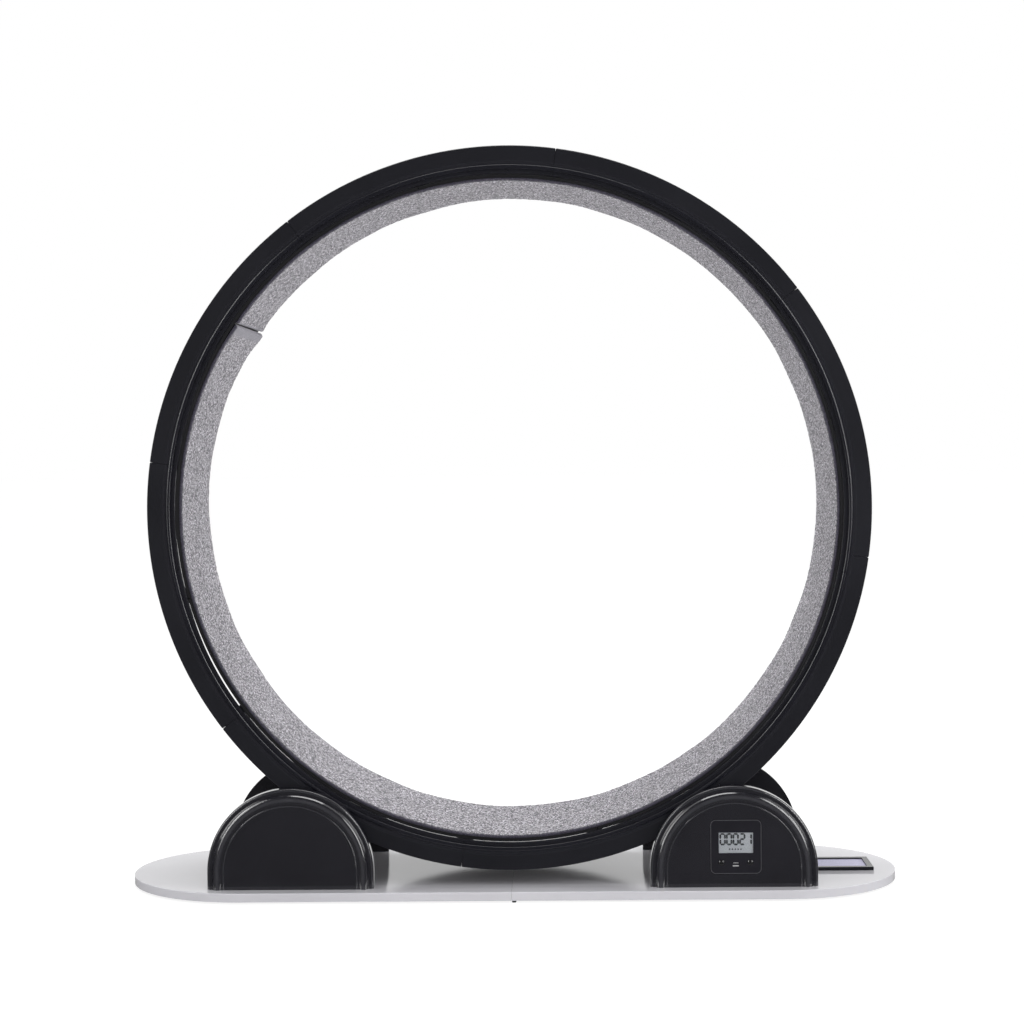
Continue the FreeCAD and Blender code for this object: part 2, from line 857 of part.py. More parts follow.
# ---------------------------------------------------------------- rollers and axles
# Drawn with local Z away from the wheel, from the housing's inner face at zero.


def axle_placement(x_side, y_side):
    base = vector(size("roller_offset") * x_side, housing_plane * y_side, roller_height)
    return FreeCAD.Placement(base, facing_out(y_side))


def ring(label, inner, outer, low, high):
    body = new_body(label)
    section = new_sketch(body, "XZ_Plane")
    draw_outline(section, rectangle(inner, low, outer, high))
    revolve(body, section, FULL_TURN)
    return body


def axle_sets():
    places = [axle_placement(x_side, y_side) for name, x_side, y_side in CORNERS]
    outer_end = -size("spacer_length")
    inner_end = outer_end - size("roller_width")
    washer_end = inner_end - size("washer_gap") - size("washer_thick")
    fit = size("axle_radius") + size("axle_gap") / 2
    for name, x_side, y_side in CORNERS:
        roller = ring("roller_" + name, size("bearing_radius") + size("running_gap"),
                      size("roller_radius"), inner_end, outer_end)
        placement = axle_placement(x_side, y_side)
        finish(roller, placement.Base, placement.Rotation)
    bearing = ring("roller_bearing", fit, size("bearing_radius"),
                   outer_end - size("bearing_width"), outer_end)
    to_inner = FreeCAD.Placement(
        vector(0, 0, inner_end + size("bearing_width") - outer_end - size("washer_gap")),
        FreeCAD.Rotation())
    group("roller_bearings", bearing,
          places + [placement.multiply(to_inner) for placement in places])
    spacer = ring("axle_spacer", fit, size("spacer_radius"), outer_end, ZERO)
    group("axle_spacers", spacer, places)
    washer = ring("guide_washer", fit, size("washer_radius"), washer_end,
                  washer_end + size("washer_thick"))
    group("guide_washers", washer, places)
    clamped = size("mount_thick") + size("boss_height")
    bolt = new_body("axle_bolt")
    shank = new_sketch(bolt, "XY_Plane", washer_end)
    draw_circle(shank, ZERO, ZERO, size("axle_radius"))
    pad(bolt, shank, clamped + size("nut_height") + size("bolt_beyond_nut") - washer_end)
    head = new_sketch(bolt, "XY_Plane", washer_end)
    draw_outline(head, hexagon(size("bolt_head_radius")))
    pad(bolt, head, size("bolt_head_height"), reverse=True)
    group("axle_bolts", bolt, places)
    nut = new_body("axle_nut")
    outline = new_sketch(nut, "XY_Plane", clamped)
    draw_outline(outline, hexagon(size("bolt_head_radius")))
    draw_circle(outline, ZERO, ZERO, fit)
    pad(nut, outline, size("nut_height"))
    group("axle_nuts", nut, places)


def hexagon(radius):
    turns = [2 * math.pi * index / NUT_SIDES for index in range(NUT_SIDES)]
    return [(radius * math.cos(turn), radius * math.sin(turn)) for turn in turns]


# ---------------------------------------------------------------- counter
# Drawn in the front right housing's frame, whose local Z points to the front.


def counter_outline(gap):
    """The counter's rounded square, grown by gap all round."""
    left = size("counter_shift") - size("counter_width") / 2 - gap
    right = size("counter_shift") + size("counter_width") / 2 + gap
    low = size("counter_centre_height") - size("counter_height") / 2 - gap
    high = size("counter_centre_height") + size("counter_height") / 2 + gap
    corner = size("counter_corner") + gap
    return [
        (left + corner, low, corner, -1), (right - corner, low),
        (right, low + corner, corner, -1), (right, high - corner),
        (right - corner, high, corner, -1), (left + corner, high),
        (left, high - corner, corner, -1), (left, low + corner),
    ]


def window_outline(gap):
    half = size("window_width") / 2 + gap
    tall = size("window_height") / 2 + gap
    middle = size("window_centre_height")
    return rectangle(size("counter_shift") - half, middle - tall,
                     size("counter_shift") + half, middle + tall)


def button_places():
    return [size("counter_shift") - size("button_spacing") / 2,
            size("counter_shift") + size("button_spacing") / 2]


def in_counter(item):
    placement = housing_placement(1, -1)
    finish(item, placement.Base, placement.Rotation)


def counter():
    front = cover_face + size("counter_proud")
    back = front - size("counter_depth")
    plate_back = front - size("counter_wall")
    seat = front - size("window_recess")
    window_back = seat - size("window_thick")
    display_back = window_back - size("display_thick")
    button_bore = size("button_radius") + size("button_gap")

    case = new_body("counter_case")
    outline = new_sketch(case, "XY_Plane", back)
    draw_outline(outline, counter_outline(ZERO))
    pad(case, outline, size("counter_depth"))
    hollow = new_sketch(case, "XY_Plane", back)
    draw_outline(hollow, counter_outline(-size("counter_wall")))
    pocket(case, hollow, size("counter_depth") - size("counter_wall"), reverse=True)
    window_hole = new_sketch(case, "XY_Plane", front)
    draw_outline(window_hole, window_outline(size("seat_gap") / 2))
    pocket(case, window_hole, size("counter_wall"))
    button_holes = new_sketch(case, "XY_Plane", front)
    for x in button_places():
        draw_circle(button_holes, x, size("button_centre_height"), button_bore)
    pocket(case, button_holes, size("counter_wall"))
    in_counter(case)

    window = new_body("counter_window")
    pane = new_sketch(window, "XY_Plane", window_back)
    draw_outline(pane, window_outline(ZERO))
    pad(window, pane, size("window_thick"))
    in_counter(window)

    display = new_body("counter_display")
    glass = new_sketch(display, "XY_Plane", display_back)
    draw_outline(glass, window_outline(ZERO))
    pad(display, glass, size("display_thick"))
    in_counter(display)

    card_front = plate_back - size("button_flange") - size("button_travel") - size("seat_gap")
    card = new_body("counter_board")
    sheet_outline = new_sketch(card, "XY_Plane", card_front - size("board_card_thick"))
    draw_outline(sheet_outline, counter_outline(-size("counter_wall") - size("seat_gap")))
    pad(card, sheet_outline, size("board_card_thick"))
    in_counter(card)

    cell = new_body("counter_battery")
    coin = new_sketch(cell, "XY_Plane", card_front - size("board_card_thick"))
    draw_circle(coin, size("counter_shift"), size("counter_centre_height"), size("cell_radius"))
    pad(cell, coin, size("cell_thick"), reverse=True)
    in_counter(cell)

    for label, x in zip(("left_button", "right_button"), button_places()):
        button = new_body(label)
        section = new_sketch(button, "XZ_Plane", -size("button_centre_height"))
        proud = size("button_proud")
        cap_radius = (size("button_radius") * size("button_radius") + proud * proud) / proud / 2
        draw_outline(section, [
            (x, plate_back - size("button_flange")),
            (x + button_bore + size("button_flange"), plate_back - size("button_flange")),
            (x + button_bore + size("button_flange"), plate_back - size("seat_gap") / 2),
            (x + size("button_radius"), plate_back - size("seat_gap") / 2),
            (x + size("button_radius"), front),
            (x, front + proud, cap_radius, -1),
        ])
        revolve_about(button, section, x)
        in_counter(button)


def revolve_about(body, sketch, x):
    """Turn a half section about the upright line through x."""
    line = sketch.addGeometry(Part.LineSegment(vector(x, 0), vector(x, 1)), True)
    fix(sketch, "DistanceX", line, 1, as_size(x))
    fix(sketch, "DistanceX", line, 2, as_size(x))
    feature = body.newObject("PartDesign::Revolution", body.Label + "_revolve")
    feature.Profile = sketch
    feature.ReferenceAxis = (sketch, ["Axis0"])
    feature.Angle = FULL_TURN
    return feature


def sensor():
    """The reed sensor on the inside of the front right mount, beside the magnet's path."""
    body = new_body("speed_sensor")
    x = size("sensor_offset") - size("housing_offset")
    y = wheel_centre - other_leg(magnet_path, size("sensor_offset")) - board_top
    outline = new_sketch(body, "XY_Plane", size("mount_thick"))
    half_x = size("sensor_length") / 2
    half_y = size("sensor_width") / 2
    draw_outline(outline, rectangle(x - half_x, y - half_y, x + half_x, y + half_y))
    pad(body, outline, size("sensor_width"))
    in_counter(body)


# ---------------------------------------------------------------- tray


def tray():
    """A low rectangular frame with a floor, and the pale liner that lies in it."""
    right = size("board_length") / 2 - size("tray_end_inset")
    left = right - size("tray_length")
    half = size("tray_depth") / 2
    rim = size("tray_rim")
    frame = new_body("tray_frame")
    outline = new_sketch(frame, "XY_Plane")
    draw_outline(outline, rectangle(left, -half, right, half))
    pad(frame, outline, size("tray_height"))
    inside = new_sketch(frame, "XY_Plane", size("tray_height"))
    draw_outline(inside, rectangle(left + rim, rim - half, right - rim, half - rim))
    pocket(frame, inside, size("tray_height") - size("tray_floor"))
    finish(frame, vector(0, 0, board_top))
    liner = new_body("tray_liner")
    gap = rim + size("liner_gap")
    pad_outline = new_sketch(liner, "XY_Plane", size("tray_floor"))
    draw_outline(pad_outline, rectangle(left + gap, gap - half, right - gap, half - gap))
    pad(liner, pad_outline, size("liner_thick"))
    finish(liner, vector(0, 0, board_top))


rims()
joiners()
track_screws()
track()
carpet()
magnet()
base_board("base_board_left", -1)
base_board("base_board_right", 1)
joining_plate()
base_screws()
feet()
housings()
axle_sets()
counter()
sensor()
tray()
doc.recompute()

# ---------------------------------------------------------------- checks and export

for item in doc.Objects:
    if "Invalid" in item.State or "Error" in item.State:
        raise RuntimeError("failed object: %s %s" % (item.Label, item.State))
for item in SUBPARTS:
    if item.Shape.isNull() or not item.Shape.isValid():
        raise RuntimeError("bad shape: " + item.Label)
    if item.TypeId == "PartDesign::Body" and len(item.Shape.Solids) != 1:
        raise RuntimeError("not one solid: " + item.Label)

os.makedirs("parts", exist_ok=True)
for item in SUBPARTS:
    item.Shape.exportStep(os.path.join("parts", item.Label + ".step"))
print("sub-parts written:", len(SUBPARTS))
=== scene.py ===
import math
import random

import bpy
from mathutils import Matrix, Vector


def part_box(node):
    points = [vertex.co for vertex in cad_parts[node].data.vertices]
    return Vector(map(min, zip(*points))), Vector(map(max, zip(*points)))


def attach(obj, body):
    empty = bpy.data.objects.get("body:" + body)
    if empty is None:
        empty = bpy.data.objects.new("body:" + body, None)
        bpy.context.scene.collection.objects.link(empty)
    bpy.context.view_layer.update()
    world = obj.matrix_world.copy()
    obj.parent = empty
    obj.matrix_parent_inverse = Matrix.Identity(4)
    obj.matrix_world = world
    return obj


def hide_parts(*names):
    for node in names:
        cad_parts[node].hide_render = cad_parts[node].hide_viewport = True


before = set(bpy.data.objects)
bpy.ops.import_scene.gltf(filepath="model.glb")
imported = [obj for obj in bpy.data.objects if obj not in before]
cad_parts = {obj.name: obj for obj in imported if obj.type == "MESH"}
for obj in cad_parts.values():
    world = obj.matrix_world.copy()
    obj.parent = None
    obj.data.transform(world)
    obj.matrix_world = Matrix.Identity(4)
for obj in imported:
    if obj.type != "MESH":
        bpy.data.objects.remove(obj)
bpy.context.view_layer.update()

MM = 0.001
FULL_TURN = 360.0

# Where the solid parts are, in metres and degrees.
WHEEL_CENTRE = Vector((0.0, 0.0, 0.5357))
BEAD_RADIUS = 0.471
CARPET_TOP = 452.4 * MM
CARPET_UNDER = 456.35 * MM
CARPET_EDGE = 118.8 * MM
CARPET_SEAM = 145.1
CARPET_SEAM_GAP = 0.25
HOUSING_X = 0.306
ARCH_CENTRE = 0.0385
COVER_RIDGE_RADIUS = 0.0923
COVER_BEAD_RADIUS = 0.1008
COVER_EDGE_RADIUS = 0.1128
COUNTER_X = 0.3081
BOARD_TOP = 0.015

# The carpet strip: its divisions and its flat length.
STRIP_STEPS = 1200
STRIP_ROWS = 30
STRIP_SPAN = FULL_TURN - CARPET_SEAM_GAP
STRIP_LENGTH = math.radians(STRIP_SPAN) * CARPET_TOP
END_CROWDING = 60

# How the carpet lies: ripples and lifts off the track, and its rounded, fuzzy edges.
FAR_WAVES = {"seed": 11, "counts": (5, 8, 13, 17, 23, 31)}
NEAR_WAVES = {"seed": 5, "counts": (4, 9, 15, 26)}
EDGE_WAVES = {"seed": 23, "counts": (19, 33, 47, 71)}
FUZZ_SEED = 41
FAR_RIPPLE = 0.8 * MM
NEAR_RIPPLE = 0.3 * MM
FIRST_END = {"lift": 5.6 * MM, "reach": 0.028, "front_share": 0.25}
LAST_END = {"lift": 1.6 * MM, "reach": 0.012, "front_share": 0.35}
UNDERSIDE_FOLLOWS = 0.8
FOLD_ROUND = 4.0 * MM
FOLD_LEAST = 0.2
EDGE_ROUND = 1.5 * MM
EDGE_THICKNESS = 0.72
EDGE_WANDER = 0.3 * MM
EDGE_FUZZ = 0.45 * MM
FUZZ_REACH = 1.6 * MM

# Prints on the counter stand this far out, and are this thick.
PRINT_PROUD = 0.06 * MM
PRINT_DEPTH = 0.1 * MM
CRYSTAL_PROUD = 0.12 * MM

# The photograph's camera.
CAMERA_PLACE = (0.0689, -3.1609, 0.6404)
CAMERA_PITCH, CAMERA_YAW, CAMERA_ROLL = 0.0355, 0.0210, -0.0106
LENS_PIXELS = 2205.0
PHOTO_PIXELS = 1024.0
SENSOR_WIDTH = 36.0

# How bright the floor and the air are: to the camera, in reflections of what lies in front of
# the object, and as light on it. What lies behind the object reflects as 1, white.
FLOOR_SEEN = 1.22
FLOOR_IN_FRONT = 0.12
AIR_IN_FRONT = 0.10
AIR_LIGHT = 0.62

# Sockets that a Mix node for colours uses.
MIX_MASK, MIX_FIRST, MIX_SECOND, MIX_RESULT = 0, 6, 7, 2


# ---------------------------------------------------------------- finishes


class Value:
    """A number that varies over a surface, and takes part in sums and products."""

    def __init__(self, finish, socket):
        self.finish = finish
        self.socket = socket

    def __add__(self, other):
        return self.finish.maths("ADD", self, other)

    def __radd__(self, other):
        return self.finish.maths("ADD", other, self)

    def __sub__(self, other):
        return self.finish.maths("SUBTRACT", self, other)

    def __rsub__(self, other):
        return self.finish.maths("SUBTRACT", other, self)

    def __mul__(self, other):
        return self.finish.maths("MULTIPLY", self, other)

    def __rmul__(self, other):
        return self.finish.maths("MULTIPLY", other, self)

    def __abs__(self):
        return self.finish.maths("ABSOLUTE", self)

    def above(self, low, high):
        """0 below low, 1 above high, with a soft step between."""
        settings = {"interpolation_type": "SMOOTHSTEP"}
        sockets = {"Value": self, "From Min": low, "From Max": high}
        return self.finish.node("MapRange", settings, sockets)

    def near(self, centre, reach):
        """1 at centre, falling to 0 at a distance of reach."""
        return 1.0 - abs(self - centre).above(0.0, reach)


class Finish:
    """A material, or the room's air, under construction."""

    def __init__(self, name, owner=None):
        self.owner = owner or bpy.data.materials.new(name)
        self.owner.use_nodes = True
        self.tree = self.owner.node_tree
        self.tree.nodes.clear()

    def node(self, kind, settings=None, sockets=None, out=0):
        """The one way to add a node: its type, settings, and socket values or links."""
        made = self.tree.nodes.new("ShaderNode" + kind)
        for key, setting in (settings or {}).items():
            if key == "stops":
                self.set_stops(made.color_ramp, setting)
            else:
                setattr(made, key, setting)
        for key, given in (sockets or {}).items():
            self.feed(made.inputs[key], given)
        return Value(self, made.outputs[out]) if made.outputs else None

    def feed(self, socket, given):
        if isinstance(given, Value):
            self.tree.links.new(given.socket, socket)
        elif isinstance(given, tuple) and len(given) == 3 and socket.type == "RGBA":
            socket.default_value = given + (1.0,)
        else:
            socket.default_value = given

    def set_stops(self, ramp, stops):
        while len(ramp.elements) < len(stops):
            ramp.elements.new(1.0)
        for element, (place, shade) in zip(ramp.elements, stops):
            element.position = place
            element.color = shade + (1.0,)

    def maths(self, operation, *numbers):
        return self.node("Math", {"operation": operation}, dict(enumerate(numbers)))

    def distance(self, first, second):
        """How far a point is from where both values are 0."""
        return self.maths("SQRT", first * first + second * second)

    def place(self):
        """Where on the object, in metres."""
        return self.node("TexCoord", out="Object")

    def strip_place(self):
        """Where on a strip: along it and across it, in metres."""
        return self.node("TexCoord", out="UV")

    def rays(self, *names):
        """1 for each named kind of ray, and 0 for the others."""
        path = self.node("LightPath").socket.node
        return [Value(self, path.outputs[name]) for name in names]

    def parts_of(self, vector):
        split = self.node("SeparateXYZ", {}, {0: vector}).socket.node
        return [Value(self, part) for part in split.outputs]

    def front_view(self, vector):
        """A vector's sideways and upward parts, which a look from the front shows."""
        return self.parts_of(vector)[::2]

    def stretched(self, vector, scale):
        return self.node("VectorMath", {"operation": "MULTIPLY"}, {0: vector, 1: scale})

    def grain(self, vector, scale=1.0, detail=2.0, roughness=0.5, distortion=0.0):
        sockets = {"Vector": vector, "Scale": scale, "Detail": detail,
                   "Roughness": roughness, "Distortion": distortion}
        return self.node("TexNoise", {}, sockets)

    def rubs(self, place):
        """Patches as broad as a hand's rubbing."""
        return self.grain(self.stretched(place, (30.0, 30.0, 30.0)), detail=5.0,
                          roughness=0.75)

    def cells(self, vector):
        return self.node("TexVoronoi", {"feature": "F1"}, {"Vector": vector, "Scale": 1.0})

    def shades(self, value, stops):
        return self.node("ValToRGB", {"stops": stops}, {0: value})

    def blend(self, mask, first, second):
        sockets = {MIX_MASK: mask, MIX_FIRST: first, MIX_SECOND: second}
        return self.node("Mix", {"data_type": "RGBA"}, sockets, out=MIX_RESULT)

    def bump(self, height, distance):
        sockets = {"Height": height, "Distance": distance, "Strength": 1.0}
        return self.node("Bump", {}, sockets)

    def surface(self, **sockets):
        """The closing shader, its sockets named with underscores for spaces."""
        named = {key.replace("_", " "): given for key, given in sockets.items()}
        shader = self.node("BsdfPrincipled", {}, named)
        self.node("OutputMaterial", {}, {"Surface": shader})
        return self.owner


def toned(shade, share):
    """A shade made darker or lighter."""
    return tuple(part * share for part in shade)


def moulded_black(name, shade, roughness, texture, specular):
    """Moulded black plastic: a fine sparkle of texture, faint flow clouds and a few soft rubs."""
    finish = Finish(name)
    place = finish.place()
    clouds = finish.grain(place, scale=9.0, detail=3.0)
    rubs = finish.grain(finish.stretched(place, (14.0, 14.0, 90.0)), detail=4.0, roughness=0.7)
    skin = finish.grain(place, scale=1400.0, roughness=0.6)
    colour = finish.blend(clouds.above(0.3, 0.7), toned(shade, 0.8), toned(shade, 1.25))
    wear = rubs.above(0.62, 0.78) * 0.06
    gloss = roughness + (clouds - 0.5) * 0.1 + wear + (skin - 0.5) * 0.05
    return finish.surface(Base_Color=colour, Roughness=gloss, Specular_IOR_Level=specular,
                          Normal=finish.bump(skin, texture))


def cover_black():
    """Polished black plastic, with paler lines painted along the bead, the ridge and the edge as
    painted highlights.
    """
    finish = Finish("cover_polished_black")
    place = finish.place()
    sideways, high = finish.front_view(place)
    above_legs = finish.maths("MAXIMUM", high - ARCH_CENTRE, 0.0)
    reach = finish.distance(abs(sideways) - HOUSING_X, above_legs)
    bead = reach.near(COVER_BEAD_RADIUS, 0.0045)
    ridge = reach.near(COVER_RIDGE_RADIUS, 0.0014)
    edge = reach.near(COVER_EDGE_RADIUS, 0.0016)
    clouds = finish.grain(place, scale=9.0, detail=3.0)
    rubs = finish.rubs(place)
    colour = finish.blend(clouds.above(0.3, 0.7), (0.0108, 0.0104, 0.0146),
                          (0.0142, 0.0137, 0.0188))
    # Painted highlight: paler lines painted along the bead, the ridge and the edge, broken up in
    # patches.
    painted_highlight = (bead + ridge * 0.7 + edge * 0.8) * (0.2 + rubs * 0.7)
    colour = finish.blend(painted_highlight, colour, (0.062, 0.062, 0.070))
    gloss = 0.17 + (clouds - 0.5) * 0.05 + rubs.above(0.6, 0.8) * 0.04
    return finish.surface(Base_Color=colour, Roughness=gloss, Specular_IOR_Level=0.5,
                          Coat_Weight=0.7, Coat_Roughness=0.07)


def rim_black():
    """Satin rim plastic, glossier on the bead, with a paler band painted just outside it as a
    painted highlight.
    """
    finish = Finish("rim_satin_black")
    place = finish.place()
    sockets = {0: place, 1: tuple(WHEEL_CENTRE)}
    from_centre = finish.node("VectorMath", {"operation": "SUBTRACT"}, sockets)
    reach = finish.distance(*finish.front_view(from_centre))
    on_bead = reach.near(BEAD_RADIUS, 0.012)
    # Painted highlight: a paler band painted just outside the bead.
    painted_highlight_band = reach.near(BEAD_RADIUS + 0.006, 0.004)
    clouds = finish.grain(place, scale=7.0, detail=3.0)
    skin = finish.grain(place, scale=1500.0, roughness=0.6)
    rubs = finish.rubs(place)
    colour = finish.blend(clouds.above(0.3, 0.7), (0.0084, 0.0084, 0.0126),
                          (0.0108, 0.0108, 0.0160))
    colour = finish.blend(painted_highlight_band * 0.5, colour, (0.019, 0.019, 0.024))
    gloss = 0.31 + (clouds - 0.5) * 0.08 + rubs.above(0.6, 0.8) * 0.05 - on_bead * 0.12
    return finish.surface(Base_Color=colour, Roughness=gloss, Specular_IOR_Level=0.42,
                          Normal=finish.bump(skin, 0.00003))


def heather_pile():
    """Short heather pile: pale lavender grey, flecked with dark and near-white loops, with
    painted shade towards both long edges.
    """
    finish = Finish("carpet_heather_pile")
    strip = finish.strip_place()
    along, across = finish.parts_of(strip)[:2]
    past_first_fold = along.above(11.0 * MM, 16.0 * MM)
    before_last_fold = (STRIP_LENGTH - along).above(2.0 * MM, 6.0 * MM)
    folded = 1.0 - past_first_fold * before_last_fold
    # Painted shade: the pile is painted darker towards both long edges.
    painted_edge_shade = abs(across).above(CARPET_EDGE - 5.0 * MM, CARPET_EDGE - 0.5 * MM)
    loops = finish.grain(finish.stretched(strip, (360.0, 200.0, 1.0)), detail=3.0,
                         roughness=0.85, distortion=0.5)
    flecks = finish.cells(finish.stretched(strip, (260.0, 150.0, 1.0)))
    tufts = finish.grain(strip, scale=1900.0, detail=1.0)
    drift = finish.grain(strip, scale=26.0, detail=3.0)
    heather = finish.shades(loops, [
        (0.42, (0.030, 0.028, 0.037)), (0.46, (0.15, 0.140, 0.168)),
        (0.50, (0.46, 0.44, 0.485)), (0.545, (0.82, 0.79, 0.85)), (0.59, (0.98, 0.95, 1.00))])
    heather = finish.blend(flecks.above(0.5, 0.75) * 0.65, heather, (0.04, 0.04, 0.05))
    heather = finish.blend(drift.above(0.35, 0.7) * 0.1, heather, (0.55, 0.54, 0.57))
    plain = finish.blend(tufts.above(0.3, 0.7), (0.30, 0.29, 0.335), (0.42, 0.41, 0.455))
    colour = finish.blend(folded * 0.85, heather, plain)
    colour = finish.blend(painted_edge_shade * 0.85, colour, (0.062, 0.059, 0.078))
    return finish.surface(Base_Color=colour, Roughness=0.95, Specular_IOR_Level=0.15,
                          Sheen_Weight=0.25, Sheen_Roughness=0.5,
                          Normal=finish.bump(loops * 0.7 + tufts * 0.3, 0.0014))


def carpet_backing():
    """The underside and cut edge: dark felt backing with pale pile ends showing through."""
    finish = Finish("carpet_backing")
    felt = finish.grain(finish.place(), scale=700.0, detail=3.0, roughness=0.7)
    colour = finish.shades(felt, [(0.3, (0.032, 0.030, 0.042)), (0.55, (0.072, 0.067, 0.090)),
                                  (0.75, (0.15, 0.143, 0.175))])
    return finish.surface(Base_Color=colour, Roughness=0.95, Specular_IOR_Level=0.1,
                          Normal=finish.bump(felt, 0.0008))


def board_white():
    """White gloss lacquer over fibreboard, with a faint orange peel and long scuffs."""
    finish = Finish("board_white_gloss")
    place = finish.place()
    peel = finish.grain(place, scale=160.0)
    clouds = finish.grain(place, scale=5.0, detail=3.0)
    scuffs = finish.grain(finish.stretched(place, (6.0, 60.0, 6.0)), detail=5.0, roughness=0.8)
    colour = finish.blend(clouds.above(0.3, 0.7), (0.64, 0.632, 0.668), (0.675, 0.667, 0.703))
    gloss = 0.11 + scuffs.above(0.55, 0.8) * 0.08 + (clouds - 0.5) * 0.03
    return finish.surface(Base_Color=colour, Roughness=gloss,
                          Normal=finish.bump(peel, 0.00003))


def brushed_metal(name, shade, roughness):
    """Plated or ground steel with fine turning marks and a few dull stains."""
    finish = Finish(name)
    place = finish.place()
    turning = finish.grain(finish.stretched(place, (60.0, 2600.0, 60.0)), detail=3.0,
                           roughness=0.7)
    stains = finish.grain(place, scale=70.0, detail=3.0)
    colour = finish.blend(stains.above(0.4, 0.7), shade, toned(shade, 0.75))
    gloss = roughness + (turning - 0.5) * 0.2 + stains.above(0.5, 0.8) * 0.12
    return finish.surface(Base_Color=colour, Metallic=1.0, Roughness=gloss,
                          Normal=finish.bump(turning, 0.00003))


def soft_solid(name, shade, roughness, scale, depth):
    """Rubber, nylon, foam or dull plastic: one colour with an even fine grain."""
    finish = Finish(name)
    place = finish.place()
    fine = finish.grain(place, scale=scale, detail=3.0, roughness=0.6)
    broad = finish.grain(place, scale=scale / 30)
    colour = finish.blend(fine.above(0.3, 0.7), toned(shade, 0.85), toned(shade, 1.12))
    gloss = roughness + (broad - 0.5) * 0.12
    return finish.surface(Base_Color=colour, Roughness=gloss, Specular_IOR_Level=0.4,
                          Normal=finish.bump(fine, depth))


def display_grey():
    """Reflective liquid crystal glass: bluish pale grey, with faint upright lines."""
    finish = Finish("display_grey")
    place = finish.place()
    phase = finish.parts_of(finish.stretched(place, (2600.0, 1.0, 2600.0)))[0]
    lines = finish.maths("SINE", phase) * 0.5 + 0.5
    mottle = finish.grain(place, scale=900.0)
    colour = finish.blend(mottle.above(0.3, 0.7), (0.32, 0.34, 0.37), (0.38, 0.40, 0.43))
    colour = finish.blend(lines * 0.06, colour, (0.26, 0.28, 0.30))
    return finish.surface(Base_Color=colour, Roughness=0.45)


def clear_window():
    """Clear acrylic: almost nothing but its gloss."""
    finish = Finish("window_clear_acrylic")
    haze = finish.grain(finish.place(), scale=300.0)
    return finish.surface(Base_Color=(0.9, 0.93, 0.93), Roughness=0.05 + haze * 0.03,
                          Alpha=0.03 + haze * 0.01)


def circuit_green():
    """Solder mask with copper tracks showing through as slightly lighter lines."""
    finish = Finish("circuit_green")
    tracks = finish.cells(finish.stretched(finish.place(), (220.0, 1.0, 300.0)))
    mask = tracks.near(0.35, 0.06)
    colour = finish.blend(mask, (0.01, 0.09, 0.035), (0.03, 0.2, 0.08))
    return finish.surface(Base_Color=colour, Roughness=0.35, Normal=finish.bump(mask, 0.00003))


def plain_ink(name, shade, roughness):
    """Printed ink or crystal: an even tone with a slight grain."""
    finish = Finish(name)
    speck = finish.grain(finish.place(), scale=2500.0)
    colour = finish.blend(speck.above(0.35, 0.65), toned(shade, 0.9), shade)
    return finish.surface(Base_Color=colour, Roughness=roughness + speck * 0.04)


# ---------------------------------------------------------------- the carpet


def new_piece(name, points, faces, body, finishes, smooth=False):
    """A piece of the object from its points and faces, riding on a body."""
    mesh = bpy.data.meshes.new(name)
    mesh.from_pydata(points, [], faces)
    mesh.update()
    for finish in finishes:
        mesh.materials.append(finish)
    if smooth:
        mesh.shade_smooth()
    piece = bpy.data.objects.new(name, mesh)
    bpy.context.scene.collection.objects.link(piece)
    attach(piece, body)
    return piece


def ripples(seed, counts):
    """A wavy line round the wheel: a sum of a few turns' waves, about -1 to 1."""
    draw = random.Random(seed)
    waves = [(count, draw.uniform(0.0, 2 * math.pi), draw.uniform(0.5, 1.0)) for count in counts]
    total = sum(weight for count, phase, weight in waves)
    evening = 1.7

    def at(angle):
        return sum(weight * math.sin(count * math.radians(angle) + phase)
                   for count, phase, weight in waves) / total * evening

    return at


def quarter_round(gap, radius):
    """How full a rounded edge is at a distance from its end: 0 there, 1 past the radius."""
    return math.sqrt(max(0.0, 1.0 - (1.0 - min(gap / radius, 1.0)) ** 2))


def rise(gap, across, lift, reach, front_share):
    """How far a folded end stands off the track, most at the back edge."""
    return lift * math.exp(-((gap / reach) ** 2)) * (front_share + (1 - front_share) * across)


def end_lift(along, across):
    """How far both folded ends together lift a point of the strip."""
    first, last = along * STRIP_LENGTH, (1.0 - along) * STRIP_LENGTH
    return rise(first, across, **FIRST_END) + rise(last, across, **LAST_END)


def row_place(row):
    """Rows crowd together at both edges, which are rounded."""
    return 0.5 - 0.5 * math.cos(math.pi * row / (STRIP_ROWS - 1))


def step_place(step):
    """Steps crowd together at both ends, which are folded."""
    share = step / STRIP_STEPS
    eased = 0.5 - 0.5 * math.cos(math.pi * share)
    near_end = math.exp(-min(share, 1 - share) * END_CROWDING)
    return share * (1 - near_end) + eased * near_end


